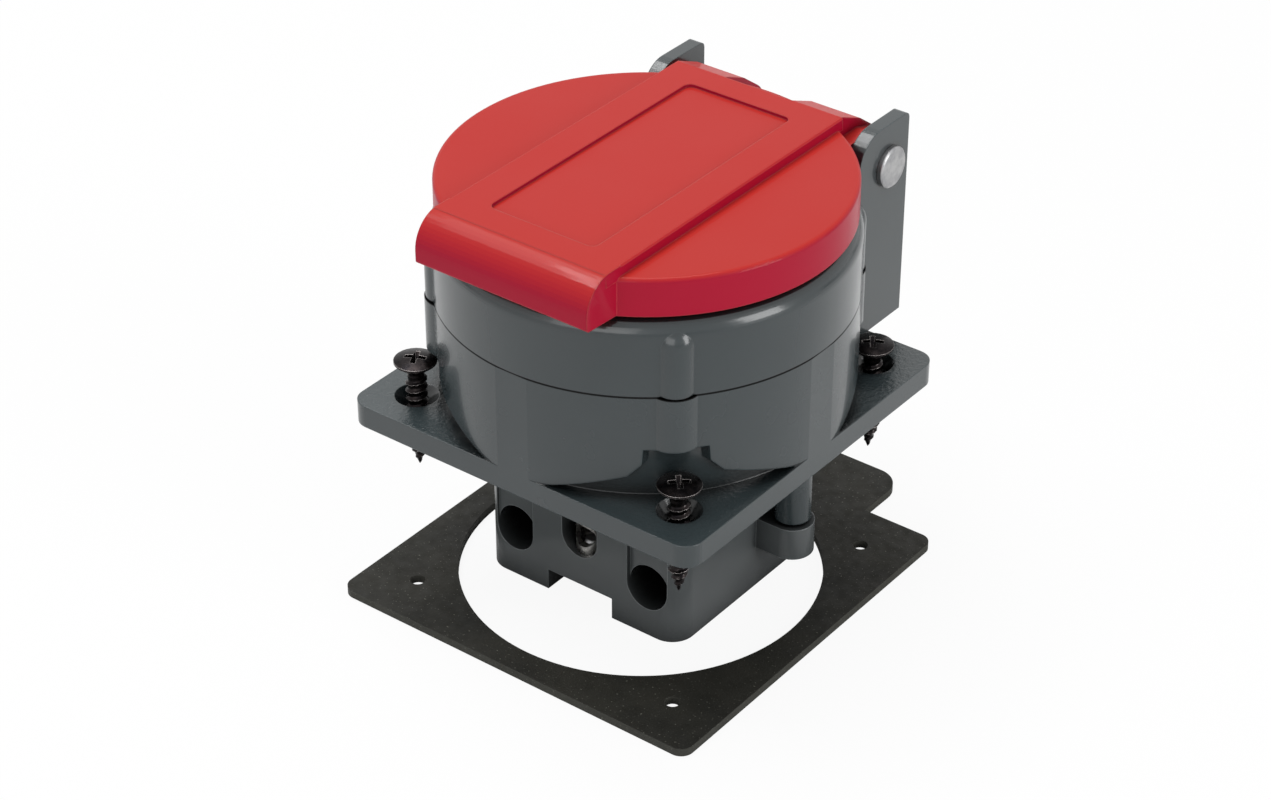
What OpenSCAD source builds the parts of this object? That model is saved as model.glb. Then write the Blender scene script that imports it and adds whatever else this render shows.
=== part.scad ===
// Multi-pole power socket for panel mounting: a round housing on a square flange,
// a hinge ring with two ears, a self-closing lid and a terminal block behind the panel.
// +Z points out of the panel and +Y points to the hinge. The origin is the centre of
// the flange's mounting face. The loose panel gasket lies level with the block's feet.

/* [Flange] */
// Side of the square flange
flange_w = 75; // [72:0.5:90]
// Thickness of the flange
flange_t = 4.4; // [3.4:0.2:6]
// Corner radius of the flange
flange_r = 3.5; // [1:0.5:6]
// Distance of a fixing hole from the flange's edge
hole_inset = 8.5; // [8:0.1:9]
// Diameter of a fixing hole
hole_d = 4.2; // [4.2:0.1:4.6]

/* [Housing] */
// How much wider than the flange the housing and the hinge ring are
body_over = 0.3; // [0:0.1:1.5]
// Thickness of the wall round the plug well
wall_t = 7.15; // [6.8:0.05:8]
// Height of the seam between housing and hinge ring
seam_z = 24.8; // [20:0.2:30]
// Thickness of the well's floor, from the mounting face
floor_t = 6; // [5:0.5:8]
// Diameter of a corner column below the seam
column_d = 9.6; // [7.5:0.1:9.8]
// How far a corner column stands out of the wall
column_out = 1.3; // [1:0.1:1.8]
// Height of the screwdriver recess above the flange
recess_h = 10; // [8:0.5:12]
// Radius of the screwdriver recess round a fixing screw
recess_r = 6.8; // [5:0.1:7]
// Depth of the recess in the wall
recess_deep = 1.65; // [1:0.05:1.8]
// Width of the keyway in the well
key_w = 6; // [4:0.5:8]
// Depth of the keyway
key_deep = 1.8; // [1:0.1:2.5]

/* [Hinge ring] */
// Height of the ring, from the seam to its rim
ring_h = 14.5; // [13:0.5:18]
// Radius of the ring's shoulder
shoulder_r = 3.2; // [2:0.1:3.4]
// Height of the sealing neck above the rim
neck_h = 3.2; // [2.5:0.1:4]
// Thickness of the sealing neck
neck_t = 3.1; // [2.5:0.1:3.2]
// Diameter of a corner column above the seam
upper_column_d = 7.4; // [6:0.2:8.4]
// Distance between the two ears
ear_gap = 42.4; // [41.6:0.2:46]
// Thickness of an ear
ear_t = 2.7; // [2:0.1:2.8]
// Front-to-back width of an ear
ear_w = 15.4; // [14:0.2:17]
// Height of the ear's top above the hinge pin
ear_rise = 8.5; // [8.2:0.1:11]
// Corner radius of the ear's front
ear_r = 6; // [4:0.5:6.5]
// Gap between the ear's foot and the flange
ear_foot_gap = 1.6; // [0.5:0.1:5]

/* [Hinge] */
// Diameter of the hinge pin
pin_d = 4; // [3:0.1:4.4]
// Diameter of the pin's head
pin_head_d = 7.8; // [6:0.1:8]
// Thickness of the pin's head
pin_head_t = 1.1; // [0.6:0.1:2]
// Distance of the pin behind the housing's wall
pin_back = 1.85; // [1.6:0.05:3]
// Depth of the pin's centre below the ring's rim
pin_below = 1; // [0.8:0.1:1.6]
// Turns of the lid's torsion spring
spring_turns = 5; // [3:1:7]
// Wire diameter of the torsion spring
spring_wire = 0.9; // [0.6:0.1:1.1]

/* [Lid] */
// How much smaller than the housing the lid is across
lid_under = 1.9; // [1:0.1:3]
// Height of the lid's skirt
lid_h = 7.1; // [6.5:0.1:9]
// Thickness of the lid's top
lid_t = 2.5; // [2:0.1:3]
// Thickness of the lid's skirt
skirt_t = 2.2; // [1.5:0.1:2.6]
// Width of the raised band
band_w = 36.3; // [32:0.1:38]
// Height of the raised band
band_h = 1.9; // [1.5:0.1:2.4]
// How far the finger lip stands out in front of the lid
lip_out = 3; // [2.4:0.1:5]
// Radius of the finger lip's bend
lip_r = 6; // [4:0.1:6.4]
// Width of the recessed panel
panel_w = 22.4; // [10:0.2:28]
// Length of the recessed panel
panel_l = 56; // [20:0.5:58]
// Depth of the recessed panel
panel_deep = 0.6; // [0.3:0.1:1]
// Radius of the hinge arms round the pin
arm_r = 6; // [5.4:0.1:6.4]
// Gap between the two hinge arms
arm_gap = 14.8; // [10:0.2:18]

/* [Contact insert] */
// Diameter of the insert
insert_d = 44; // [42:0.5:46]
// Height of the insert's face above the mounting face
insert_h = 34; // [30:0.5:35]
// Thickness of the insert's cover
cover_t = 4.6; // [4:0.1:6]
// Radius of the circle on which the contacts stand
contact_ring_r = 15.8; // [15:0.1:16]
// Diameter of a plug pin's way into a contact
sleeve_bore = 6; // [5:0.1:6.2]
// Wall thickness of a contact sleeve
sleeve_t = 1; // [0.7:0.1:1.2]
// Diameter of a contact's tail in the terminal block
tail_d = 6; // [5.8:0.1:6.4]

/* [Terminal block] */
// Width of the block
block_w = 44; // [43:0.5:44.5]
// Front-to-back size of the block
block_l = 39.4; // [39:0.2:40.2]
// Height of the block
block_h = 34; // [33.6:0.2:40]
// Radius of the block's upright corners
block_r = 4.5; // [4:0.5:6]
// Diameter of an outer wire entry
entry_d = 8.6; // [7.6:0.1:9]
// Width of the middle wire entry
mid_entry_w = 7.9; // [7:0.1:8.6]
// Depth of the outer wire entries below the mounting face
entry_down = 24; // [22:0.2:24.4]
// Depth of the middle wire entry below the mounting face
mid_entry_down = 19.6; // [18:0.2:22]
// Width of the channel between the block's feet
channel_w = 14.6; // [10:0.2:16]
// Height of the channel
channel_h = 4.3; // [2:0.1:4.6]
// Sideways distance of a fixing lug from the middle
lug_x = 27; // [26.6:0.1:27.5]
// Distance of a fixing lug behind the middle
lug_y = 8; // [4:0.5:9]
// Length of the bosses under the flange
boss_h = 18.2; // [14:0.2:20]
// Height of a fixing lug
lug_h = 6.4; // [5:0.2:8]

/* [Panel gasket] */
// How much wider than the flange the gasket is
gasket_over = 2.6; // [0:0.2:6]
// Thickness of the gasket
gasket_t = 1.6; // [1:0.1:3]
// Diameter of the gasket's opening
gasket_hole_d = 67; // [66.6:0.2:69]
// How far the loose gasket lies to the right of the socket's middle
gasket_aside = 2.5; // [-1:0.1:2.6]
// How far the loose gasket lies in front of the socket's middle
gasket_forward = 4.8; // [-1:0.1:4.9]
// Width of the tab behind the gasket
tab_w = 47; // [30:1:60]
// Length of the tab behind the gasket
tab_l = 13; // [5:0.5:16]

/* [Hidden] */
$fn = 96;

// Colours
housing_grey = [0.27, 0.29, 0.30];
lid_red = [0.72, 0.16, 0.17];
block_grey = [0.24, 0.26, 0.27];
insert_black = [0.12, 0.12, 0.13];
rubber_black = [0.17, 0.17, 0.16];
screw_black = [0.09, 0.08, 0.08];
brass = [0.80, 0.65, 0.35];
zinc = [0.72, 0.73, 0.75];

// Clearances
slip = 0.1;          // a piece that slides into its seat
loose = 0.3;         // a piece that passes freely through another
running = 0.08;      // the lid's bores on the hinge pin
cut = 1;             // how far a cutting tool runs past a face
joined = 0.5;        // how far two forms of one moulding run into each other

// Housing and ring
body_d = flange_w + body_over;
body_r = body_d / 2;
hole_pitch = flange_w - 2 * hole_inset;
well_r = body_r - wall_t;
rim_z = seam_z + ring_h;
neck_top = rim_z + neck_h;
neck_r = well_r + neck_t;
column_r = body_r + column_out - column_d / 2;
upper_column_out = column_out - 0.2;
upper_column_r = body_r + upper_column_out - upper_column_d / 2;
column_top = rim_z - 1.2;
recess_flare_r = 24;
recess_flare_h = 4.6;
ring_seal_t = 1;
ring_seal_margin = 0.65;

// Screws that join ring and housing
joint_screw_d = 2.9;
joint_head_d = 5.6;
joint_head_t = 2.4;
joint_screw_r = well_r + joint_screw_d / 2 + 1.45;
joint_screw_grip = 7;

// Hinge
pin_y = body_r + pin_back;
pin_z = rim_z - pin_below;
ear_in = ear_gap / 2;
ear_out = ear_in + ear_t;
ear_back = pin_y + pin_head_d / 2 + 2.1;
ear_front = ear_back - ear_w;
ear_top = pin_z + ear_rise;
ear_foot = flange_t + ear_foot_gap;
ear_root = ear_front - 3;
ear_root_top = rim_z - shoulder_r;
ear_sweep_r = norm([ear_front + ear_r - pin_y, ear_top - ear_r - pin_z]) + ear_r + 0.45;
barrel_r = 4.5;
barrel_room = 0.5;
clip_t = 0.8;
clip_d = 7;
spring_r = pin_d / 2 + spring_wire / 2 + 0.65;
spring_pitch = spring_wire + 0.15;
spring_leg = 6;
spring_seat = 0.15;
spring_half = spring_turns * spring_pitch / 2;
spring_leg_room = spring_leg + spring_wire / 2 + spring_seat;

// Lid
lid_d = body_d - lid_under;
lid_r = lid_d / 2;
lid_foot = rim_z + 0.6;
lid_top = lid_foot + lid_h;
lid_roof = lid_top - lid_t;
band_top = lid_top + band_h;
band_flank = 0.1;
band_back = pin_y - 6.7;
band_front = 2 - lid_r;
panel_middle = -0.9;
lip_face = lid_r + lip_out;
lip_foot = lid_foot + 0.5;
lip_root = 6 - lid_r;
lip_edge_r = 0.6;
arm_side = ear_in - 0.4;
arm_low_top = lid_top - 2.1;
heel_angle = -1;
crown_angle = 53;
crest_y = pin_y - 1.6;
crest_z = band_top - 4.2;
crest_r = 1.8;
crest_start = 68;
seal_out = neck_r - 0.25;
seal_in = well_r + 0.1;
seal_foot = neck_top + loose;
seal_rib_t = 0.9;
seal_rib_h = 1.5;

// Contacts: earth at the front, then round by fifths of a turn
contact_angles = [270, 342, 54, 126, 198];
contact_names = ["pe", "l1", "n", "l2", "l3"];
sleeve_r = sleeve_bore / 2 + sleeve_t;
sleeve_top = insert_h - cover_t - loose;
aperture_r = sleeve_bore / 2 + 0.2;
sleeve_floor = 6;
split_w = 0.8;
split_l = 14;
clamp_ring_t = 0.6;
clamp_ring_h = 1.4;
clamp_ring_z = sleeve_top - 7;
clamp_groove = 0.3;
cavity_r = sleeve_r + clamp_ring_t + slip;
tail_r = tail_d / 2;
tail_below_wire = 5.6;
wire_hole_d = 4.6;
wire_guide_d = 5.4;
terminal_screw_d = 3.1;
terminal_head_d = 4.6;
terminal_head_t = 2.4;
terminal_head_gap = 0.5;

// Terminal block and its fixings
entry_r = entry_d / 2;
shutter_deep = 1;
mid_slot_top = 12;
mid_slot_r = mid_entry_w / 2;
lug_top = boss_h + 0.8;
lug_r = 4.1;
boss_r = 3.4;
lug_screw_d = 3.2;
lug_head_d = 6.2;
lug_head_t = 2.1;
lug_screw_up = 6;
insert_screw_d = 3.5;
insert_head_d = 6.4;
insert_head_t = 2.6;
insert_head_sunk = 0.6;
insert_screw_down = 10;
gasket_w = flange_w + gasket_over;
gasket_pin_d = 2.8;
gasket_corner_r = 2.5;
tab_r = 5;

// Fixing screws, shown started in their holes
fixing_d = 4;
fixing_head_d = 7.8;
fixing_head_t = 2.3;
fixing_land = 0.35;
fixing_dome = 0.7;
fixing_top = flange_t + 5.2;
fixing_l = 22;
fixing_tip = 5;
fixing_lifts = [[2.2, 0.6], [0, -1.4]];
fixing_shank_d = 3.6;
fixing_shank_l = fixing_top + 2.8;
fixing_lead = 0.2;
sink_d = hole_d + 3.8;

// Points on an arc, centre [x, y]
function arc(x, y, r, from, to, steps) =
    [for (i = [0:steps]) let (a = from + (to - from) * i / steps) [x + r * cos(a), y + r * sin(a)]];

// Points on a shallow dome of rise h over radius r, from the edge to the top
function dome(r, h, steps) =
    [for (i = [0:steps]) let (x = r * (1 - i / steps)) [x, h * (1 - pow(x / r, 2))]];

function contact_place(i) = contact_ring_r * [cos(contact_angles[i]), sin(contact_angles[i])];

// How deep the wire hole and the foot of contact i lie
function wire_down(i) = i == 0 ? mid_entry_down : entry_down;
function tail_foot(i) = wire_down(i) + tail_below_wire;

module rounded_plate(w, l, t, r) {
    linear_extrude(t) union() {
        square([w - 2 * r, l], center = true);
        square([w, l - 2 * r], center = true);
        for (x = [-1, 1], y = [-1, 1])
            translate([x * (w / 2 - r), y * (l / 2 - r)]) circle(r);
    }
}

module at_corners(half) {
    for (x = [-1, 1], y = [-1, 1]) translate([x * half, y * half, 0]) children();
}

// Four places on the diagonals, at radius r from the axis
module on_diagonals(r) {
    at_corners(r / sqrt(2)) children();
}

module at_lugs() {
    for (x = [-1, 1]) translate([x * lug_x, lug_y, 0]) children();
}

// Turns a side view, drawn as [y, z], into a plate from x0 to x1
module side_plate(x0, x1) {
    translate([x0, 0, 0]) rotate([90, 0, 90]) linear_extrude(x1 - x0) children();
}

// A rod along X, round the hinge's axis
module hinge_rod(r, x0, x1) {
    translate([x0, pin_y, pin_z]) rotate([0, 90, 0]) cylinder(r = r, h = x1 - x0);
}

module keyway() {
    translate([-key_w / 2, -well_r - key_deep, floor_t + joined])
        cube([key_w, 2 * key_deep, neck_top]);
}

// Bell-shaped room round a fixing screw's head, flaring out along the flange
module driver_recess() {
    difference() {
        at_corners(hole_pitch / 2) translate([0, 0, flange_t]) rotate_extrude() polygon([
            [0, 0], [recess_flare_r, 0], [recess_r + 2.5, recess_flare_h],
            [recess_r + 0.2, recess_flare_h + 2.4], [recess_r, recess_h], [0, recess_h]
        ]);
        cylinder(r = body_r - recess_deep, h = seam_z);
    }
}

module panel_housing() {
    color(housing_grey) difference() {
        union() {
            rounded_plate(flange_w, flange_w, flange_t, flange_r);
            intersection() {
                union() {
                    cylinder(r = body_r, h = seam_z);
                    on_diagonals(column_r) cylinder(d = column_d, h = seam_z);
                }
                translate([-flange_w / 2, -flange_w / 2, 0]) cube([flange_w, flange_w, seam_z]);
            }
            at_lugs() translate([0, 0, -boss_h]) cylinder(r = boss_r, h = boss_h + joined);
        }
        translate([0, 0, floor_t]) cylinder(r = well_r, h = seam_z);
        translate([0, 0, -cut]) cylinder(r = insert_d / 2 + loose, h = seam_z);
        keyway();
        driver_recess();
        at_corners(hole_pitch / 2) {
            translate([0, 0, -cut]) cylinder(d = hole_d, h = flange_t + 2 * cut);
            translate([0, 0, flange_t - fixing_head_t])
                cylinder(d1 = hole_d, d2 = sink_d, h = fixing_head_t);
        }
        on_diagonals(joint_screw_r) {
            translate([0, 0, -cut]) cylinder(d = joint_screw_d + loose, h = seam_z + 2 * cut);
            translate([0, 0, -cut]) cylinder(d = joint_head_d + loose, h = joint_head_t + cut + slip);
        }
        at_lugs() translate([0, 0, -boss_h - cut])
            cylinder(d = lug_screw_d + slip, h = boss_h - lug_screw_up + 2 * cut);
    }
}

module ear_outline() {
    polygon(concat(
        [[ear_front, ear_foot], [ear_back, ear_foot]],
        arc(ear_back - 1.2, ear_top - 1.2, 1.2, 0, 90, 4),
        arc(ear_front + ear_r, ear_top - ear_r, ear_r, 90, 180, 10),
        [[ear_front, ear_root_top], [ear_root, ear_root_top], [ear_root, seam_z], [ear_front, seam_z]]
    ));
}

module ear() {
    difference() {
        side_plate(ear_in, ear_out) ear_outline();
        translate([0, 0, -cut]) {
            cylinder(r = body_r + loose, h = seam_z + cut);
            on_diagonals(column_r) cylinder(d = column_d + 2 * loose, h = seam_z + cut);
            at_corners(hole_pitch / 2) cylinder(d = fixing_head_d + loose, h = seam_z + cut);
        }
    }
}

module hinge_ring() {
    color(housing_grey) difference() {
        union() {
            rotate_extrude() polygon(concat(
                [[well_r, seam_z], [body_r, seam_z]],
                arc(body_r - shoulder_r, rim_z - shoulder_r, shoulder_r, 0, 90, 10),
                [[neck_r, rim_z], [neck_r, neck_top - 0.5], [neck_r - 0.5, neck_top], [well_r, neck_top]]
            ));
            on_diagonals(upper_column_r) {
                translate([0, 0, seam_z])
                    cylinder(d = upper_column_d, h = column_top - upper_column_d / 2 - seam_z);
                translate([0, 0, column_top - upper_column_d / 2]) sphere(d = upper_column_d, $fn = 48);
            }
            ear();
            mirror([1, 0, 0]) ear();
        }
        translate([0, 0, seam_z - cut]) cylinder(r = well_r, h = ring_h + neck_h + 2 * cut);
        translate([0, 0, seam_z - cut]) difference() {
            cylinder(r = body_r - ring_seal_margin, h = ring_seal_t + cut);
            cylinder(r = well_r + ring_seal_margin, h = ring_seal_t + cut);
        }
        keyway();
        hinge_rod(pin_d / 2 + slip / 2, -ear_out - cut, ear_out + cut);
        hinge_rod(barrel_r + barrel_room, -ear_in, ear_in);
        on_diagonals(joint_screw_r) translate([0, 0, seam_z])
            cylinder(d = joint_screw_d + slip, h = ring_seal_t + joint_screw_grip + cut);
        spring_leg_groove(-spring_half, pin_z - spring_leg_room);
    }
}

// Groove for one of the spring's legs, at x, from z0 upwards
module spring_leg_groove(x, z0) {
    half = spring_wire / 2 + spring_seat;
    translate([x - half, pin_y - spring_r - half, z0]) cube([2 * half, body_r, spring_leg_room]);
}

module ring_seal() {
    color(rubber_black) difference() {
        translate([0, 0, seam_z]) cylinder(r = body_r - ring_seal_margin - slip, h = ring_seal_t);
        translate([0, 0, seam_z - cut]) {
            cylinder(r = well_r + ring_seal_margin + slip, h = ring_seal_t + 2 * cut);
            on_diagonals(joint_screw_r) cylinder(d = joint_screw_d + loose, h = ring_seal_t + 2 * cut);
        }
    }
}

// A screw that stands head down: head from z0, shank above it
module raised_screw(z0, head_d, head_t, shank_d, shank_l) {
    slot_w = shank_d / 4;
    translate([0, 0, z0]) difference() {
        union() {
            cylinder(d = head_d, h = head_t);
            translate([0, 0, head_t - slip]) cylinder(d = shank_d, h = shank_l + slip - 0.4);
            translate([0, 0, head_t + shank_l - 0.4]) cylinder(d1 = shank_d, d2 = shank_d - 0.8, h = 0.4);
        }
        translate([-head_d / 2 - cut, -slot_w / 2, -cut])
            cube([head_d + 2 * cut, slot_w, head_t / 2 + cut]);
    }
}

module ring_screws() {
    color(zinc) on_diagonals(joint_screw_r)
        raised_screw(slip, joint_head_d, joint_head_t, joint_screw_d,
            seam_z + ring_seal_t + joint_screw_grip - joint_head_t);
}

module hinge_pin() {
    color(zinc) union() {
        hinge_rod(pin_d / 2, -ear_out - clip_t - 0.7, ear_out + joined);
        translate([ear_out, pin_y, pin_z]) rotate([0, 90, 0]) union() {
            cylinder(d = pin_head_d, h = pin_head_t - 0.3);
            translate([0, 0, pin_head_t - 0.3])
                cylinder(d1 = pin_head_d, d2 = pin_head_d - 0.6, h = 0.3);
        }
    }
}

module pin_clip() {
    color(zinc) difference() {
        hinge_rod(clip_d / 2, -ear_out - clip_t, -ear_out);
        hinge_rod(pin_d / 2 + slip / 2, -ear_out - clip_t - cut, -ear_out + cut);
    }
}

module lid_dish() {
    edge = 0.8;
    rotate_extrude() polygon(concat(
        [[0, lid_roof], [lid_r - joined, lid_roof], [lid_r - joined, lid_foot], [lid_r, lid_foot]],
        arc(lid_r - edge, lid_top - edge, edge, 0, 90, 6),
        [[0, lid_top]]
    ));
    translate([0, 0, lid_foot]) difference() {
        cylinder(r = lid_r, h = lid_h / 2);
        translate([0, 0, -cut]) cylinder(r = lid_r - skirt_t, h = lid_h);
    }
}

// Raised band from the finger lip to the hinge
module lid_band() {
    half = band_w / 2;
    translate([0, band_back, 0]) rotate([90, 0, 0])
        linear_extrude(band_back - band_front) polygon([
            [-half - band_flank, lid_top - joined], [half + band_flank, lid_top - joined],
            [half + band_flank, lid_top], [half, band_top - 0.3], [half - 0.3, band_top],
            [0.3 - half, band_top], [-half, band_top - 0.3], [-half - band_flank, lid_top]
        ]);
}

module finger_lip() {
    half = band_w / 2;
    side_plate(-half, half) polygon(concat(
        [[lip_root, band_top], [lip_root, lid_roof], [lip_root, lid_foot]],
        arc(lip_edge_r - lip_face, lip_foot + lip_edge_r, lip_edge_r, 270, 180, 4),
        arc(-lip_face + lip_r, band_top - lip_r, lip_r, 180, 90, 12)
    ));
}

// Side view of a hinge arm: from its upper edge round the pin to a heel that limits the opening
module arm_outline(upper_edge) {
    front = lid_r - 10;
    polygon(concat(
        [[front, lid_foot + 0.4], [front, upper_edge[0][1]]],
        upper_edge,
        arc(pin_y, pin_z, arm_r, crown_angle, heel_angle, 10),
        arc(pin_y, pin_z, barrel_r, heel_angle, -205, 28)
    ));
}

module hinge_arm() {
    side_plate(arm_gap / 2, band_w / 2 - 0.3) arm_outline(concat(
        [[band_back, band_top]],
        arc(crest_y, crest_z, crest_r, crest_start, crown_angle, 4)
    ));
    side_plate(band_w / 2 - joined, arm_side)
        arm_outline([[pin_y - 2, arm_low_top], [pin_y - 1, arm_low_top - 0.3]]);
}

module lid() {
    color(lid_red) difference() {
        union() {
            lid_dish();
            lid_band();
            finger_lip();
            hinge_arm();
            mirror([1, 0, 0]) hinge_arm();
        }
        translate([0, 0, lid_foot - 4]) cylinder(r = lid_r - skirt_t, h = lid_roof - lid_foot + 4);
        translate([0, panel_middle, band_top - panel_deep])
            rounded_plate(panel_w, panel_l, band_h, 1.5);
        hinge_rod(pin_d / 2 + running, -ear_in, ear_in);
        hinge_rod(barrel_r, -arm_gap / 2, arm_gap / 2);
        spring_leg_groove(spring_half, pin_z);
        hinge_rod(ear_sweep_r, ear_in - 0.2, ear_out + loose);
        hinge_rod(ear_sweep_r, -ear_out - loose, 0.2 - ear_in);
    }
    color(lid_red) translate([0, 0, lid_roof - seal_rib_h]) difference() {
        cylinder(r = seal_in - loose, h = seal_rib_h + joined);
        translate([0, 0, -cut]) cylinder(r = seal_in - loose - seal_rib_t, h = seal_rib_h + 2 * cut);
    }
}

module lid_seal() {
    color(rubber_black) translate([0, 0, seal_foot]) difference() {
        cylinder(r = seal_out, h = lid_roof - seal_foot);
        translate([0, 0, -cut]) cylinder(r = seal_in, h = lid_roof - seal_foot + 2 * cut);
    }
}

function wire_ring(c, out) =
    [for (t = [0:45:315]) c + spring_wire / 2 * (cos(t) * [1, 0, 0] + sin(t) * out)];

// Torsion spring round the pin: one leg down the ring, one leg up behind the lid
module lid_spring() {
    steps = spring_turns * 12;
    front = [0, -1, 0];
    path = concat(
        [[[-spring_half, -spring_r, -spring_leg], front]],
        [for (i = [0:steps]) let (a = 180 - i * 30, out = [0, cos(a), sin(a)])
            [spring_r * out + [spring_half * (2 * i / steps - 1), 0, 0], out]],
        [[[spring_half, -spring_r, spring_leg], front]]
    );
    n = len(path);
    color(zinc) translate([0, pin_y, pin_z]) polyhedron(
        points = [for (p = path) each wire_ring(p[0], p[1])],
        faces = concat(
            [[7, 6, 5, 4, 3, 2, 1, 0]],
            [for (i = [0:n - 2], k = [0:7]) let (a = 8 * i + k, b = 8 * i + (k + 1) % 8)
                each [[a, b, b + 8], [a, b + 8, a + 8]]],
            [[for (k = [0:7]) 8 * (n - 1) + k]]
        )
    );
}

module contact_insert() {
    color(insert_black) difference() {
        cylinder(d = insert_d, h = insert_h - cover_t);
        translate([0, 0, -cut]) {
            for (i = [0:4]) translate(contact_place(i)) cylinder(r = cavity_r, h = insert_h);
            cylinder(d = insert_screw_d + loose, h = insert_h);
        }
    }
}

// The cover closes the cavities but for the pins' ways in; the screw clamps it to the insert
module insert_cover() {
    bevel = 0.6;
    color(insert_black) difference() {
        union() {
            translate([0, 0, insert_h - cover_t]) cylinder(d = insert_d, h = cover_t - bevel);
            translate([0, 0, insert_h - bevel])
                cylinder(d1 = insert_d, d2 = insert_d - 2 * bevel, h = bevel);
        }
        for (i = [0:4]) translate(contact_place(i)) cylinder(r = aperture_r, h = insert_h + cut);
        cylinder(d = insert_screw_d + loose, h = insert_h + cut);
        translate([0, 0, insert_h - insert_head_sunk - insert_head_t])
            cylinder(d = insert_head_d + loose, h = insert_h);
    }
}

// Cross recess for a screwdriver, cut down from z = 0
module cross_recess(w, deep) {
    for (turn = [0, 90]) rotate(turn)
        translate([-w / 2, -w / 10, -deep]) cube([w, w / 5, deep + cut]);
}

module insert_screw() {
    head_z = insert_h - insert_head_sunk - insert_head_t;
    color(zinc) difference() {
        union() {
            translate([0, 0, head_z]) cylinder(d = insert_head_d, h = insert_head_t);
            translate([0, 0, 0.4 - insert_screw_down])
                cylinder(d = insert_screw_d, h = head_z + insert_screw_down);
            translate([0, 0, -insert_screw_down])
                cylinder(d1 = insert_screw_d - 0.8, d2 = insert_screw_d, h = 0.4);
        }
        translate([0, 0, head_z + insert_head_t]) cross_recess(4, 1.6);
    }
}

// Split sleeve with a solid foot, and below it the tail with wire hole and thread
module contact(i) {
    color(brass) translate(contact_place(i)) difference() {
        union() {
            cylinder(r = sleeve_r, h = sleeve_top);
            translate([0, 0, -tail_foot(i)]) cylinder(r = tail_r, h = tail_foot(i) + joined);
        }
        translate([0, 0, sleeve_floor]) cylinder(d = sleeve_bore, h = sleeve_top);
        for (turn = [45, 135]) rotate(turn)
            translate([-sleeve_r - cut, -split_w / 2, sleeve_top - split_l])
                cube([2 * (sleeve_r + cut), split_w, split_l + cut]);
        translate([0, 0, clamp_ring_z - slip]) difference() {
            cylinder(r = sleeve_r + cut, h = clamp_ring_h + 2 * slip);
            translate([0, 0, -cut]) cylinder(r = sleeve_r - clamp_groove, h = clamp_ring_h + 4);
        }
        translate([0, tail_d, -wire_down(i)]) rotate([90, 0, 0]) cylinder(d = wire_hole_d, h = 2 * tail_d);
        translate([0, 0, -tail_foot(i) - cut])
            cylinder(d = terminal_screw_d + slip, h = tail_below_wire + cut);
    }
}

module contact_pe() { contact(0); }
module contact_l1() { contact(1); }
module contact_n() { contact(2); }
module contact_l2() { contact(3); }
module contact_l3() { contact(4); }

module contact_springs() {
    ring_in = sleeve_r - clamp_groove + slip / 2;
    color(zinc) for (i = [0:4]) translate(contact_place(i)) translate([0, 0, clamp_ring_z]) difference() {
        cylinder(r = ring_in + clamp_ring_t, h = clamp_ring_h);
        translate([0, 0, -cut]) cylinder(r = ring_in, h = clamp_ring_h + 2 * cut);
    }
}

// A round way along Y at depth z, from the outside face to y_end
module wire_way(x, z, d, side, y_end) {
    face = side * (block_l / 2 + cut);
    translate([x, max(face, y_end), -z]) rotate([90, 0, 0]) cylinder(d = d, h = abs(face - y_end));
}

module terminal_block() {
    color(block_grey) difference() {
        union() {
            translate([0, 0, -block_h]) rounded_plate(block_w, block_l, block_h, block_r);
            for (side = [-1, 1]) translate([side * lug_x, lug_y, -lug_top - lug_h]) {
                cylinder(r = lug_r, h = lug_h);
                translate([side > 0 ? block_w / 2 - lug_x - joined : 0, -lug_r, 0])
                    cube([lug_x - block_w / 2 + joined, 2 * lug_r, lug_h]);
            }
        }
        for (i = [0:4]) translate(contact_place(i)) {
            translate([0, 0, -tail_foot(i) - slip]) cylinder(r = tail_r + slip, h = block_h);
            translate([0, 0, -block_h - cut])
                cylinder(d = terminal_head_d + 2 * loose, h = block_h + cut - tail_foot(i));
        }
        for (i = [1, 4]) outer_entry(contact_place(i), -1);
        for (i = [2, 3]) outer_entry(contact_place(i), 1);
        middle_entry();
        translate([-channel_w / 2, -block_l / 2 - cut, -block_h - cut])
            cube([channel_w, block_l + 2 * cut, channel_h + cut]);
        translate([0, 0, -insert_screw_down - joined])
            cylinder(d = insert_screw_d + slip, h = insert_screw_down + joined + cut);
        at_lugs() {
            translate([0, 0, -block_h]) cylinder(d = lug_screw_d + loose, h = block_h);
            translate([0, 0, -block_h])
                cylinder(d = lug_head_d + loose, h = block_h - lug_top - lug_h + lug_head_t);
        }
    }
}

// Wire entry on the front (side -1) or the back (side 1), with the recessed face above it
module outer_entry(at, side) {
    wire_way(at[0], entry_down, entry_d, side, at[1] + side * (tail_r + 1.5));
    wire_way(at[0], entry_down, wire_guide_d, side, at[1]);
    translate([at[0] - entry_r, side > 0 ? block_l / 2 - shutter_deep : -block_l / 2 - cut, -entry_down])
        cube([entry_d, shutter_deep + cut, entry_down + cut]);
}

// The middle entry is a tall slot in front of the earth terminal
module middle_entry() {
    y_end = contact_place(0)[1];
    top_z = mid_slot_top + mid_slot_r;
    wire_way(0, mid_entry_down, 2 * mid_slot_r, -1, y_end);
    wire_way(0, top_z, 2 * mid_slot_r, -1, y_end);
    translate([-mid_slot_r, -block_l / 2 - cut, -mid_entry_down])
        cube([2 * mid_slot_r, y_end + block_l / 2 + cut, mid_entry_down - top_z]);
}

module terminal_screws() {
    color(zinc) for (i = [0:4]) translate(contact_place(i))
        raised_screw(-tail_foot(i) - terminal_head_gap - terminal_head_t, terminal_head_d,
            terminal_head_t, terminal_screw_d, tail_below_wire + terminal_head_gap - 1.9);
}

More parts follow.
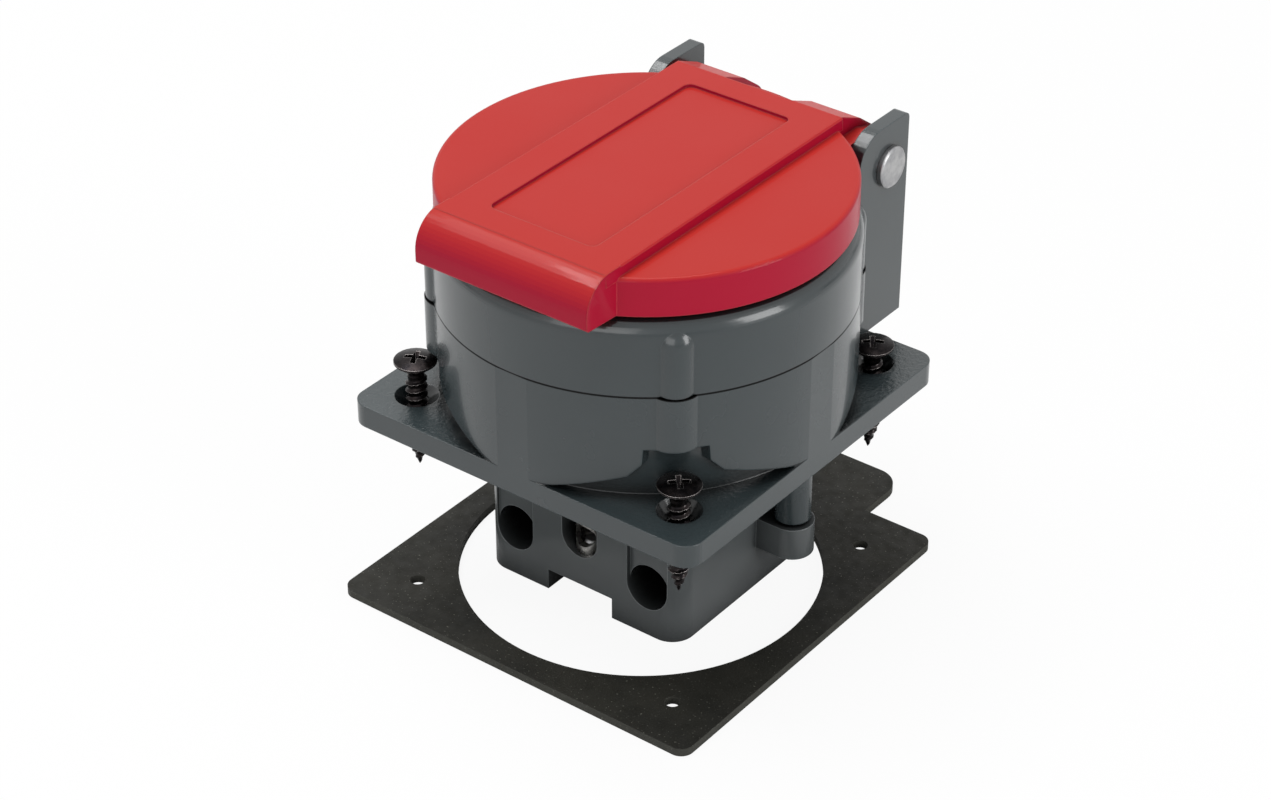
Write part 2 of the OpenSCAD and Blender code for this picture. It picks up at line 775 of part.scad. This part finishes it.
module block_screws() {
    head_z = -lug_top - lug_h + slip;
    color(zinc) at_lugs() raised_screw(head_z, lug_head_d, lug_head_t - slip, lug_screw_d,
        -lug_screw_up - joined - head_z - lug_head_t);
}

// Raised countersunk screw with a drawn-out point, its head's rim at z = 0. The rolled
// thread is wider than the shank, which ends below the flange.
module fixing_screw() {
    difference() {
        rotate_extrude() polygon(concat(
            [[0, -fixing_l], [0.5, -fixing_l], [fixing_d / 2, fixing_tip - fixing_l]],
            [[fixing_d / 2, -fixing_shank_l - fixing_lead], [fixing_shank_d / 2, -fixing_shank_l]],
            [[fixing_shank_d / 2, -fixing_head_t], [fixing_head_d / 2, -fixing_land]],
            dome(fixing_head_d / 2, fixing_dome, 6)
        ));
        translate([0, 0, fixing_dome]) cross_recess(4.6, 2.2);
    }
}

// The screws stand in their holes, each screwed in a different way
module flange_screws() {
    half = hole_pitch / 2;
    color(screw_black) for (x = [0, 1], y = [0, 1])
        translate([(2 * x - 1) * half, (2 * y - 1) * half, fixing_top + fixing_lifts[x][y]]) fixing_screw();
}

module panel_gasket() {
    color(rubber_black) translate([gasket_aside, -gasket_forward, -block_h]) difference() {
        union() {
            rounded_plate(gasket_w, gasket_w, gasket_t, gasket_corner_r);
            translate([0, gasket_w / 2 + tab_l / 2 - tab_r, 0])
                rounded_plate(tab_w, tab_l + 2 * tab_r, gasket_t, tab_r);
        }
        translate([0, 0, -cut]) cylinder(d = gasket_hole_d, h = gasket_t + 2 * cut);
        at_corners(hole_pitch / 2) translate([0, 0, -cut])
            cylinder(d = gasket_pin_d, h = gasket_t + 2 * cut);
    }
}

panel_housing();
hinge_ring();
ring_seal();
ring_screws();
hinge_pin();
pin_clip();
lid();
lid_seal();
lid_spring();
contact_insert();
insert_cover();
insert_screw();
contact_pe();
contact_l1();
contact_n();
contact_l2();
contact_l3();
contact_springs();
terminal_block();
terminal_screws();
block_screws();
flange_screws();
panel_gasket();
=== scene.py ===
import math
import bmesh
import bpy
from mathutils import Matrix, Vector


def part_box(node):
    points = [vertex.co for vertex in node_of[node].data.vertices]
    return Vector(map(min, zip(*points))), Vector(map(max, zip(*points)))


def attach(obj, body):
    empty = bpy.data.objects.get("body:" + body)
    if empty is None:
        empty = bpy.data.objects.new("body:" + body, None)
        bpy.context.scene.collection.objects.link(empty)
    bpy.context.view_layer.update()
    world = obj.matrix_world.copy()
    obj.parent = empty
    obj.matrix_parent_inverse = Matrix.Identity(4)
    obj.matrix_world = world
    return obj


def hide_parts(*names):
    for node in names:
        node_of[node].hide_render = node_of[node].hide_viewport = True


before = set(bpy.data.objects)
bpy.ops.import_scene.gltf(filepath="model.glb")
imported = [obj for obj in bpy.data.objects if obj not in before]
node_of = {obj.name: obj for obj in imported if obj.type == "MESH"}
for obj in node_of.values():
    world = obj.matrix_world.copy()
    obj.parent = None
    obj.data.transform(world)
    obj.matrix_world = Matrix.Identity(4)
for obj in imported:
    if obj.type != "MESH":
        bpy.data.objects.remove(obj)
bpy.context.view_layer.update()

# ---------------------------------------------------------------------------
# The bench. The socket stands on its terminal block on a pale sheet, in an
# even white room. Four soft lamps: a broad one above, one in front, one at
# the right and a narrow strip above the left edge.
# ---------------------------------------------------------------------------
bench_gap = 0.00005
bench_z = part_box("panel_gasket")[0][2] - bench_gap
bench_half = 3.0

bench_mesh = bpy.data.meshes.new("bench_sheet")
bench_mesh.from_pydata(
    [(-bench_half, -bench_half, bench_z), (bench_half, -bench_half, bench_z),
     (bench_half, bench_half, bench_z), (-bench_half, bench_half, bench_z)],
    [], [(0, 1, 2, 3)])
bench_sheet = bpy.data.objects.new("bench_sheet", bench_mesh)
bpy.context.collection.objects.link(bench_sheet)


def seen_share(tree, rays, share):
    """A share that is full for the named kinds of ray and nothing for the others."""
    path = tree.nodes.new("ShaderNodeLightPath")
    total = path.outputs[rays[0]]
    for ray in rays[1:]:
        either = tree.nodes.new("ShaderNodeMath")
        either.operation = "MAXIMUM"
        tree.links.new(total, either.inputs[0])
        tree.links.new(path.outputs[ray], either.inputs[1])
        total = either.outputs[0]
    scaled = tree.nodes.new("ShaderNodeMath")
    scaled.operation = "MULTIPLY"
    scaled.inputs[1].default_value = share
    tree.links.new(total, scaled.inputs[0])
    return scaled.outputs[0]


white = (1, 1, 1, 1)
white_sheet = bpy.data.materials.new("white_sheet")
white_sheet.use_nodes = True
sheet_tree = white_sheet.node_tree
sheet_paper = sheet_tree.nodes["Principled BSDF"]
sheet_paper.inputs["Base Color"].default_value = (0.86, 0.86, 0.86, 1)
sheet_paper.inputs["Roughness"].default_value = 0.9
sheet_paper.inputs["Specular IOR Level"].default_value = 0.1
sheet_glow = sheet_tree.nodes.new("ShaderNodeEmission")
sheet_glow.inputs["Color"].default_value = white
sheet_glow.inputs["Strength"].default_value = 1.0
sheet_mix = sheet_tree.nodes.new("ShaderNodeMixShader")
sheet_seen = seen_share(sheet_tree, ["Is Camera Ray", "Is Transmission Ray"], 0.92)
sheet_tree.links.new(sheet_seen, sheet_mix.inputs[0])
sheet_tree.links.new(sheet_paper.outputs[0], sheet_mix.inputs[1])
sheet_tree.links.new(sheet_glow.outputs[0], sheet_mix.inputs[2])
sheet_tree.links.new(
    sheet_mix.outputs[0], sheet_tree.nodes["Material Output"].inputs["Surface"])
bench_mesh.materials.append(white_sheet)

room = bpy.data.worlds.new("studio_room")
bpy.context.scene.world = room
room.use_nodes = True
room_tree = room.node_tree
room_light = room_tree.nodes["Background"]
room_light.inputs["Color"].default_value = white
room_light.inputs["Strength"].default_value = 0.3
room_white = room_tree.nodes.new("ShaderNodeBackground")
room_white.inputs["Color"].default_value = white
room_white.inputs["Strength"].default_value = 1.0
room_mix = room_tree.nodes.new("ShaderNodeMixShader")
room_seen = seen_share(
    room_tree, ["Is Camera Ray", "Is Glossy Ray", "Is Transmission Ray"], 1.0)
room_tree.links.new(room_seen, room_mix.inputs[0])
room_tree.links.new(room_light.outputs[0], room_mix.inputs[1])
room_tree.links.new(room_white.outputs[0], room_mix.inputs[2])
room_tree.links.new(room_mix.outputs[0], room_tree.nodes["World Output"].inputs["Surface"])

lamp_aim = Vector((0.0, 0.0, 0.0))


def hang_softbox(name, place, width, height, watts):
    """A rectangular soft lamp at a place, turned to the socket."""
    lamp = bpy.data.lights.new(name, "AREA")
    lamp.shape = "RECTANGLE"
    lamp.size, lamp.size_y = width, height
    lamp.energy = watts
    holder = bpy.data.objects.new(name, lamp)
    holder.location = place
    holder.rotation_euler = (lamp_aim - Vector(place)).to_track_quat("-Z", "Y").to_euler()
    bpy.context.collection.objects.link(holder)


hang_softbox("top_softbox", (-0.30, 0.0, 1.0), 0.8, 0.7, 8.0)
hang_softbox("front_softbox", (0.2, -1.0, 0.35), 0.8, 0.6, 2.6)
hang_softbox("side_softbox", (1.0, 0.1, 0.3), 0.4, 0.7, 5.0)
hang_softbox("edge_strip", (-0.50, 0.02, 0.86), 0.9, 0.02, 0.9)

eye = bpy.data.cameras.new("studio_camera")
eye.sensor_fit = "HORIZONTAL"
eye.sensor_width = 36.0
eye.lens = 86.9268
eye.clip_start, eye.clip_end = 0.01, 20
eye_stand = bpy.data.objects.new("studio_camera", eye)
turn, tilt = math.radians(37.43), math.radians(33.27)
eye_back = Vector((math.sin(turn) * math.cos(tilt),
                   -math.cos(turn) * math.cos(tilt), math.sin(tilt)))
eye_stand.location = (0.27842, -0.36692, 0.30196)
eye_stand.rotation_euler = (-eye_back).to_track_quat("-Z", "Y").to_euler()
bpy.context.collection.objects.link(eye_stand)
bpy.context.scene.camera = eye_stand
bpy.context.scene.view_settings.view_transform = "Standard"

# ---------------------------------------------------------------------------
# Panel housing. One moulding of slate-grey glass-filled nylon: round well,
# square flange, corner columns. The flange's top keeps the tool's coarser
# grain and is painted lighter as lit from above, the round wall is smoother,
# painted highlights pale the edges, and painted shade darkens the hollows.
# ---------------------------------------------------------------------------
edge_samples, hollow_samples = 6, 8
edge_plain, edge_full = 0.99, 0.86
seam_fade = 0.0002


def new_finish(name, colour, roughness, metal=0.0):
    """A finish with its plain colour, gloss and metal share."""
    finish = bpy.data.materials.new(name)
    finish.use_nodes = True
    skin = finish.node_tree.nodes["Principled BSDF"]
    skin.inputs["Base Color"].default_value = (*colour, 1)
    skin.inputs["Roughness"].default_value = roughness
    skin.inputs["Metallic"].default_value = metal
    return finish


def part_noise(finish, scale, detail=3.0, stretch=(1, 1, 1)):
    """Noise fixed to the part, with its size given in cells per metre."""
    tree = finish.node_tree
    place = tree.nodes.new("ShaderNodeTexCoord")
    fit = tree.nodes.new("ShaderNodeMapping")
    fit.inputs["Scale"].default_value = stretch
    noise = tree.nodes.new("ShaderNodeTexNoise")
    noise.inputs["Scale"].default_value = scale
    noise.inputs["Detail"].default_value = detail
    tree.links.new(place.outputs["Object"], fit.inputs["Vector"])
    tree.links.new(fit.outputs["Vector"], noise.inputs["Vector"])
    return noise.outputs["Fac"]


def span(finish, value, low, high, to_low=0.0, to_high=1.0):
    """Maps a value from one span to another and stops at its ends."""
    tree = finish.node_tree
    fit = tree.nodes.new("ShaderNodeMapRange")
    for socket, number in (("From Min", low), ("From Max", high),
                           ("To Min", to_low), ("To Max", to_high)):
        fit.inputs[socket].default_value = number
    tree.links.new(value, fit.inputs["Value"])
    return fit.outputs["Result"]


def vary_colour(finish, value, dark, light, low=0.35, high=0.65):
    """Runs the colour from dark to light with a value."""
    tree = finish.node_tree
    ramp = tree.nodes.new("ShaderNodeValToRGB")
    ramp.color_ramp.elements[0].position = low
    ramp.color_ramp.elements[0].color = (*dark, 1)
    ramp.color_ramp.elements[1].position = high
    ramp.color_ramp.elements[1].color = (*light, 1)
    tree.links.new(value, ramp.inputs["Fac"])
    tree.links.new(ramp.outputs["Color"], tree.nodes["Principled BSDF"].inputs["Base Color"])


def tint_where(finish, share, colour):
    """Mixes a second colour over the first where the share is high."""
    tree = finish.node_tree
    base = tree.nodes["Principled BSDF"].inputs["Base Color"]
    mix = tree.nodes.new("ShaderNodeMix")
    mix.data_type = "RGBA"
    if base.is_linked:
        tree.links.new(base.links[0].from_socket, mix.inputs["A"])
    else:
        mix.inputs["A"].default_value = base.default_value
    mix.inputs["B"].default_value = (*colour, 1)
    tree.links.new(share, mix.inputs["Factor"])
    tree.links.new(mix.outputs["Result"], base)


def edge_share(finish, radius, most):
    """A share that rises to its most on the part's outer and inner edges."""
    tree = finish.node_tree
    soft = tree.nodes.new("ShaderNodeBevel")
    soft.samples = edge_samples
    soft.inputs["Radius"].default_value = radius
    plain = tree.nodes.new("ShaderNodeNewGeometry")
    match = tree.nodes.new("ShaderNodeVectorMath")
    match.operation = "DOT_PRODUCT"
    tree.links.new(soft.outputs["Normal"], match.inputs[0])
    tree.links.new(plain.outputs["Normal"], match.inputs[1])
    return span(finish, match.outputs["Value"], edge_plain, edge_full, 0.0, most)


def upward_share(finish, low, high):
    """A share that rises from faces that stand to faces that lie flat."""
    tree = finish.node_tree
    plain = tree.nodes.new("ShaderNodeNewGeometry")
    parts = tree.nodes.new("ShaderNodeSeparateXYZ")
    size = tree.nodes.new("ShaderNodeMath")
    size.operation = "ABSOLUTE"
    tree.links.new(plain.outputs["Normal"], parts.inputs[0])
    tree.links.new(parts.outputs["Z"], size.inputs[0])
    return span(finish, size.outputs[0], low, high)


def hollow_share(finish, reach, most, bare=0.72, shut=0.22):
    """A share that rises to its most in corners and holes narrower than a reach."""
    hollow = finish.node_tree.nodes.new("ShaderNodeAmbientOcclusion")
    hollow.samples = hollow_samples
    hollow.inputs["Distance"].default_value = reach
    return span(finish, hollow.outputs["AO"], bare, shut, 0.0, most)


def vary_gloss(finish, value, smooth, rough):
    """Runs the roughness from smooth to rough with a value."""
    tree = finish.node_tree
    tree.links.new(span(finish, value, 0.3, 0.7, smooth, rough),
                   tree.nodes["Principled BSDF"].inputs["Roughness"])


def raise_grain(finish, value, strength, height, edge=0.0):
    """Bump from a value, over any bump already there, on edges rounded to a radius."""
    tree = finish.node_tree
    normal = tree.nodes["Principled BSDF"].inputs["Normal"]
    bump = tree.nodes.new("ShaderNodeBump")
    if hasattr(strength, "links"):
        tree.links.new(strength, bump.inputs["Strength"])
    else:
        bump.inputs["Strength"].default_value = strength
    bump.inputs["Distance"].default_value = height
    tree.links.new(value, bump.inputs["Height"])
    if normal.is_linked:
        tree.links.new(normal.links[0].from_socket, bump.inputs["Normal"])
    elif edge:
        soft_edge = tree.nodes.new("ShaderNodeBevel")
        soft_edge.samples = edge_samples
        soft_edge.inputs["Radius"].default_value = edge
        tree.links.new(soft_edge.outputs["Normal"], bump.inputs["Normal"])
    tree.links.new(bump.outputs["Normal"], normal)


def seam_line(finish, z, half, reach):
    """A share that is full at a height on the part, within a reach of its axis."""
    tree = finish.node_tree
    place = tree.nodes.new("ShaderNodeTexCoord")
    level = tree.nodes.new("ShaderNodeVectorMath")
    level.operation = "MULTIPLY"
    level.inputs[1].default_value = (1, 1, 0)
    tree.links.new(place.outputs["Object"], level.inputs[0])
    out = tree.nodes.new("ShaderNodeVectorMath")
    out.operation = "LENGTH"
    tree.links.new(level.outputs[0], out.inputs[0])
    parts = tree.nodes.new("ShaderNodeSeparateXYZ")
    off = tree.nodes.new("ShaderNodeMath")
    off.operation = "SUBTRACT"
    off.inputs[1].default_value = z
    size = tree.nodes.new("ShaderNodeMath")
    size.operation = "ABSOLUTE"
    tree.links.new(place.outputs["Object"], parts.inputs[0])
    tree.links.new(parts.outputs["Z"], off.inputs[0])
    tree.links.new(off.outputs[0], size.inputs[0])
    both = tree.nodes.new("ShaderNodeMath")
    both.operation = "MULTIPLY"
    tree.links.new(span(finish, size.outputs[0], half, 0.6 * half), both.inputs[0])
    tree.links.new(span(finish, out.outputs["Value"], reach + seam_fade, reach), both.inputs[1])
    return both.outputs[0]


def dull_where(finish, share, least, most):
    """Lowers the mirror share of the surface where a share is high."""
    tree = finish.node_tree
    tree.links.new(span(finish, share, 0, 1, most, least),
                   tree.nodes["Principled BSDF"].inputs["Specular IOR Level"])


def set_coat(finish, weight, roughness):
    """Lays a clear gloss coat over a finish."""
    skin = finish.node_tree.nodes["Principled BSDF"]
    skin.inputs["Coat Weight"].default_value = weight
    skin.inputs["Coat Roughness"].default_value = roughness


def dress(node, finish):
    """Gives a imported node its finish."""
    mesh = node_of[node].data
    if not mesh.materials:
        mesh.materials.append(finish)
    for i in range(len(mesh.materials)):
        node_of[node].material_slots[i].material = finish


def moulded_nylon(name, dark, light, smooth, rough):
    """A nylon moulding with faint clouding, satin gloss, fine grain and edges painted pale as
    highlights.
    """
    finish = new_finish(name, light, rough)
    vary_colour(finish, part_noise(finish, 45, 2), dark, light, 0.3, 0.7)
    # Painted highlight: the edges are tinted pale, as if catching the light.
    tint_where(finish, edge_share(finish, 0.00028, 0.6), [min(1.0, 3.2 * c) for c in light])
    vary_gloss(finish, part_noise(finish, 120), smooth, rough)
    raise_grain(finish, part_noise(finish, 2600, 2), 0.16, 0.00005, 0.00035)
    return finish


slate = ((0.022, 0.031, 0.034), (0.028, 0.038, 0.041))
seam_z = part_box("ring_seal")[0][2]
seam_half, seam_past_seal = 0.00024, 0.0038
seam_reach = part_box("ring_seal")[1][0] + seam_past_seal
slate_nylon = moulded_nylon("slate_nylon", *slate, 0.18, 0.26)
flange_grain_and_lit_top = moulded_nylon("flange_grain_and_lit_top", *slate, 0.20, 0.30)
flat_top = upward_share(flange_grain_and_lit_top, 0.7, 0.95)
raise_grain(flange_grain_and_lit_top, part_noise(flange_grain_and_lit_top, 1500, 3), flat_top, 0.00012)
# Painted light: faces that lie flat are tinted lighter, as lit from above.
tint_where(flange_grain_and_lit_top, flat_top, [1.35 * c for c in slate[1]])
for nylon in (slate_nylon, flange_grain_and_lit_top):
    # Painted shade: corners, hollows and the parts under the flange are tinted darker.
    tint_where(nylon, hollow_share(nylon, 0.007, 0.8), [0.25 * c for c in slate[0]])
    tint_where(nylon, hollow_share(nylon, 0.0035, 0.75, 0.95, 0.62), [0.1 * c for c in slate[0]])
    seam = seam_line(nylon, seam_z, seam_half, seam_reach)
    tint_where(nylon, seam, (0.001, 0.001, 0.001))
    dull_where(nylon, seam, 0.0, 0.5)
    set_coat(nylon, 0.3, 0.08)
dress("panel_housing", flange_grain_and_lit_top)

# ---------------------------------------------------------------------------
# Hinge ring. The upper moulding in the same nylon, with the sealing neck and
# the two ears that carry the lid. Four screws hold it on its flat seal.
# ---------------------------------------------------------------------------
dress("hinge_ring", slate_nylon)

seal_rubber = new_finish("seal_rubber", (0.02, 0.02, 0.02), 0.7)
vary_gloss(seal_rubber, part_noise(seal_rubber, 400), 0.6, 0.8)
raise_grain(seal_rubber, part_noise(seal_rubber, 1800), 0.3, 0.00005)
dress("ring_seal", seal_rubber)

zinc_plate = new_finish("zinc_plate", (0.40, 0.40, 0.41), 0.34, 1.0)
vary_colour(zinc_plate, part_noise(zinc_plate, 700, 4), (0.33, 0.33, 0.34), (0.46, 0.46, 0.46))
vary_gloss(zinc_plate, part_noise(zinc_plate, 900), 0.28, 0.46)
raise_grain(zinc_plate, part_noise(zinc_plate, 1500), 0.2, 0.00003, 0.0003)
dress("ring_screws", zinc_plate)

# ---------------------------------------------------------------------------
# Lid. Satin red plastic moulding with a raised band, a finger lip at the
# front and two hinge arms behind. A soft sealing ring sits under its roof.
# ---------------------------------------------------------------------------
lid_red = new_finish("lid_red", (0.46, 0.034, 0.027), 0.36)
# Painted light: the top is lighter and more orange, the standing sides darker crimson, as lit
# from above.
vary_colour(lid_red, upward_share(lid_red, 0.2, 0.95),
            (0.37, 0.004, 0.026), (0.46, 0.024, 0.019), 0.0, 1.0)
# Painted highlight: the edges are tinted pale red.
tint_where(lid_red, edge_share(lid_red, 0.00025, 0.3), (0.80, 0.20, 0.15))
# Painted shade: corners and creases are tinted dark crimson.
tint_where(lid_red, hollow_share(lid_red, 0.0022, 0.9), (0.20, 0.002, 0.022))
dull_where(lid_red, part_noise(lid_red, 30, 2), 0.05, 0.10)
set_coat(lid_red, 0.15, 0.05)
vary_gloss(lid_red, part_noise(lid_red, 60, 2), 0.34, 0.40)
raise_grain(lid_red, part_noise(lid_red, 140, 1), 0.10, 0.00012, 0.0005)
dress("lid", lid_red)
dress("lid_seal", seal_rubber)

# ---------------------------------------------------------------------------
# Hinge pin, its push-on clip and the torsion spring that shuts the lid.
# Turned and wound from steel, zinc plated.
# ---------------------------------------------------------------------------
for node in ("hinge_pin", "pin_clip", "lid_spring"):
    dress(node, zinc_plate)

# ---------------------------------------------------------------------------
# Contact insert and contacts: a black moulding with its cover, brass sleeves
# with steel clamp rings, a nickel-plated earth terminal, and small screws of
# zinc-plated steel.
# ---------------------------------------------------------------------------
insert_black = new_finish("insert_black", (0.018, 0.018, 0.02), 0.5)
vary_gloss(insert_black, part_noise(insert_black, 200), 0.38, 0.5)
raise_grain(insert_black, part_noise(insert_black, 2000), 0.2, 0.00005, 0.0002)
for node in ("contact_insert", "insert_cover"):
    dress(node, insert_black)


def drawn_metal(name, dark, light):
    """Turned contact metal with fine rings round its axis."""
    finish = new_finish(name, light, 0.3, 1.0)
    vary_colour(finish, part_noise(finish, 500), dark, light)
    vary_gloss(finish, part_noise(finish, 800), 0.2, 0.4)
    raise_grain(finish, part_noise(finish, 1400, 2, (0.1, 0.1, 1)), 0.3, 0.00004)
    return finish


contact_brass = drawn_metal("contact_brass", (0.60, 0.42, 0.18), (0.74, 0.54, 0.26))
contact_nickel = drawn_metal("contact_nickel", (0.42, 0.41, 0.39), (0.60, 0.59, 0.56))
for pole in ("l1", "n", "l2", "l3"):
    dress("contact_" + pole, contact_brass)
dress("contact_pe", contact_nickel)
for node in ("contact_springs", "insert_screw", "terminal_screws", "block_screws"):
    dress(node, zinc_plate)

# ---------------------------------------------------------------------------
# Terminal block. Dark grey nylon moulding with the wire entries, screwed to
# the housing's two bosses from below.
# ---------------------------------------------------------------------------
block_nylon = moulded_nylon(
    "block_nylon", (0.072, 0.079, 0.081), (0.088, 0.096, 0.098), 0.18, 0.27)
# Painted shade: the wire entries and other deep hollows are tinted near black and dulled.
block_painted_shade = hollow_share(block_nylon, 0.012, 1.0)
tint_where(block_nylon, block_painted_shade, (0.003, 0.003, 0.003))
dull_where(block_nylon, block_painted_shade, 0.0, 0.5)
dress("terminal_block", block_nylon)

# ---------------------------------------------------------------------------
# Fixing screws. Steel with a black oxide skin, its edges painted pale as
# highlights: raised countersunk head, cross recess, coarse thread up to the
# head, sharp point. Each is started by hand in its hole in the flange.
# ---------------------------------------------------------------------------
black_oxide = new_finish("black_oxide", (0.016, 0.013, 0.015), 0.28, 0.9)
vary_colour(black_oxide, part_noise(black_oxide, 700, 3),
            (0.008, 0.007, 0.008), (0.022, 0.018, 0.018))
# Painted highlight: the edges are tinted pale grey.
tint_where(black_oxide, edge_share(black_oxide, 0.00018, 0.8), (0.42, 0.39, 0.38))
dull_where(black_oxide, part_noise(black_oxide, 500), 0.05, 0.2)
vary_gloss(black_oxide, part_noise(black_oxide, 1100), 0.20, 0.36)
raise_grain(black_oxide, part_noise(black_oxide, 1800), 0.25, 0.00004, 0.0001)

head_r, head_t, head_land, head_dome = 0.0039, 0.0023, 0.00035, 0.0007
thread_r, core_r, thread_pitch, point_l = 0.002, 0.00145, 0.0016, 0.005
thread_start, thread_fade, crest_share = 0.0006, 0.0008, 0.28
point_r, point_curve, neck_over = 0.00004, 0.8, 0.0001
recess_l, recess_w, recess_t, recess_over = 0.0046, 0.0010, 0.0021, 0.0005
recess_foot, recess_mouth = (0.35, 0.5), (1.05, 1.1)
around, dome_steps, rows_a_turn = 28, 6, 10
dome_start, rim_share, sharp_from = 0.12, 0.98, 38


def shank_radius(depth, angle, length):
    """Radius of the thread at a depth under the head's rim."""
    phase = (depth / thread_pitch + angle / (2 * math.pi)) % 1.0
    crest = max(0.0, 1.0 - abs(phase - 0.5) / crest_share)
    fade = min(1.0, max(0.0, (depth - head_t - thread_start) / thread_fade))
    taper = min(1.0, (length - depth) / point_l) ** point_curve
    return (core_r + (thread_r - core_r) * crest * fade) * taper + point_r


def add_ring(form, radius_at, z):
    """A ring of corners at a height, with a radius for each angle."""
    ring = []
    for k in range(around):
        angle = 2 * math.pi * k / around
        r = radius_at(angle)
        ring.append(form.verts.new((r * math.cos(angle), r * math.sin(angle), z)))
    return ring


def lathe(form, rings):
    """Joins rings from the top down into one closed skin."""
    for upper, lower in zip(rings, rings[1:]):
        for k in range(around):
            m = (k + 1) % around
            form.faces.new((upper[k], lower[k], lower[m], upper[m]))
    form.faces.new(rings[0])
    form.faces.new(list(reversed(rings[-1])))


def recess_cutter(turned):
    """A tapered bar, one arm of the cross recess."""
    form = bmesh.new()
    corners = []
    for z, (long, wide) in ((-recess_t, recess_foot), (recess_over, recess_mouth)):
        l, w = long * recess_l, wide * recess_w
        for x, y in ((-l, -w), (l, -w), (l, w), (-l, w)):
            spot = Vector((x / 2, y / 2, z))
            spot.rotate(Matrix.Rotation(turned, 3, "Z").to_euler())
            corners.append(form.verts.new(spot))
    form.faces.new(corners[3::-1])
    form.faces.new(corners[4:])
    for k in range(4):
        m = (k + 1) % 4
        form.faces.new((corners[k], corners[m], corners[m + 4], corners[k + 4]))
    mesh = bpy.data.meshes.new("recess_cutter")
    form.to_mesh(mesh)
    form.free()
    cutter = bpy.data.objects.new("recess_cutter", mesh)
    bpy.context.collection.objects.link(cutter)
    return cutter


def make_screw(name, rim, length, turned):
    """One fixing screw, its head's rim at a point, cut by its cross recess."""
    form = bmesh.new()
    rings = []
    for step in range(dome_steps):
        r = head_r * (dome_start + (1 - dome_start) * step / (dome_steps - 1))
        rings.append(add_ring(form, lambda a, r=r: r, head_dome * (1 - (r / head_r) ** 2)))
    rings.append(add_ring(form, lambda a: head_r, -head_land))
    rings.append(add_ring(form, lambda a: core_r + neck_over, -head_t))
    rows = int((length - head_t) / (thread_pitch / rows_a_turn))
    for row in range(1, rows + 1):
        depth = head_t + (length - head_t) * row / rows
        rings.append(add_ring(form, lambda a, d=depth: shank_radius(d, a, length), -depth))
    lathe(form, rings)
    mesh = bpy.data.meshes.new(name)
    form.to_mesh(mesh)
    form.free()
    screw = bpy.data.objects.new(name, mesh)
    bpy.context.collection.objects.link(screw)
    cutters = [recess_cutter(turned), recess_cutter(turned + math.pi / 2)]
    for cutter in cutters:
        cutter.location = (0, 0, head_dome)
        cut = screw.modifiers.new("cut", "BOOLEAN")
        cut.object = cutter
        cut.solver = "EXACT"
    bpy.context.view_layer.update()
    cut_screw = screw.evaluated_get(bpy.context.evaluated_depsgraph_get())
    finished = bpy.data.meshes.new_from_object(cut_screw)
    screw.modifiers.clear()
    screw.data = finished
    for cutter in cutters:
        bpy.data.objects.remove(cutter)
    finished.transform(Matrix.Translation(rim))
    for face in finished.polygons:
        face.use_smooth = True
    finished.set_sharp_from_angle(angle=math.radians(sharp_from))
    finished.materials.clear()
    finished.materials.append(black_oxide)
    return screw


screw_spots = [v.co.copy() for v in node_of["flange_screws"].data.vertices]
screw_turns = {(-1, -1): 0.45, (-1, 1): 1.0, (1, -1): 0.75, (1, 1): 0.62}
for number, ((side_x, side_y), turned) in enumerate(screw_turns.items()):
    own = [p for p in screw_spots if p.x * side_x > 0 and p.y * side_y > 0]
    middle_x = (min(p.x for p in own) + max(p.x for p in own)) / 2
    middle_y = (min(p.y for p in own) + max(p.y for p in own)) / 2
    rim_z = max(p.z for p in own
                if (p.x - middle_x) ** 2 + (p.y - middle_y) ** 2 > (rim_share * head_r) ** 2)
    screw = make_screw("fixing_screw_%d" % number, Vector((middle_x, middle_y, rim_z)),
                       rim_z - min(p.z for p in own), turned)
    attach(screw, "socket")
    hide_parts("flange_screws")

# ---------------------------------------------------------------------------
# Panel gasket. Black rubber sheet, cut square with a tab, lying loose on the
# bench. Its skin is olive black with dust specks, and the cut edges are paler.
# ---------------------------------------------------------------------------
gasket_foam = new_finish("gasket_foam", (0.018, 0.018, 0.015), 0.62)
vary_colour(gasket_foam, part_noise(gasket_foam, 60, 5),
            (0.011, 0.011, 0.009), (0.026, 0.025, 0.020))
dull_where(gasket_foam, part_noise(gasket_foam, 300), 0.14, 0.24)
dust_share = span(gasket_foam, part_noise(gasket_foam, 2100, 2), 0.66, 0.72)
tint_where(gasket_foam, dust_share, (0.12, 0.12, 0.10))
cut_share = span(gasket_foam, upward_share(gasket_foam, 0.3, 0.7), 1.0, 0.0, 0.0, 0.5)
tint_where(gasket_foam, cut_share, (0.07, 0.07, 0.06))
vary_gloss(gasket_foam, part_noise(gasket_foam, 500), 0.5, 0.7)
raise_grain(gasket_foam, part_noise(gasket_foam, 1700, 4), 0.35, 0.0001, 0.00015)
dress("panel_gasket", gasket_foam)
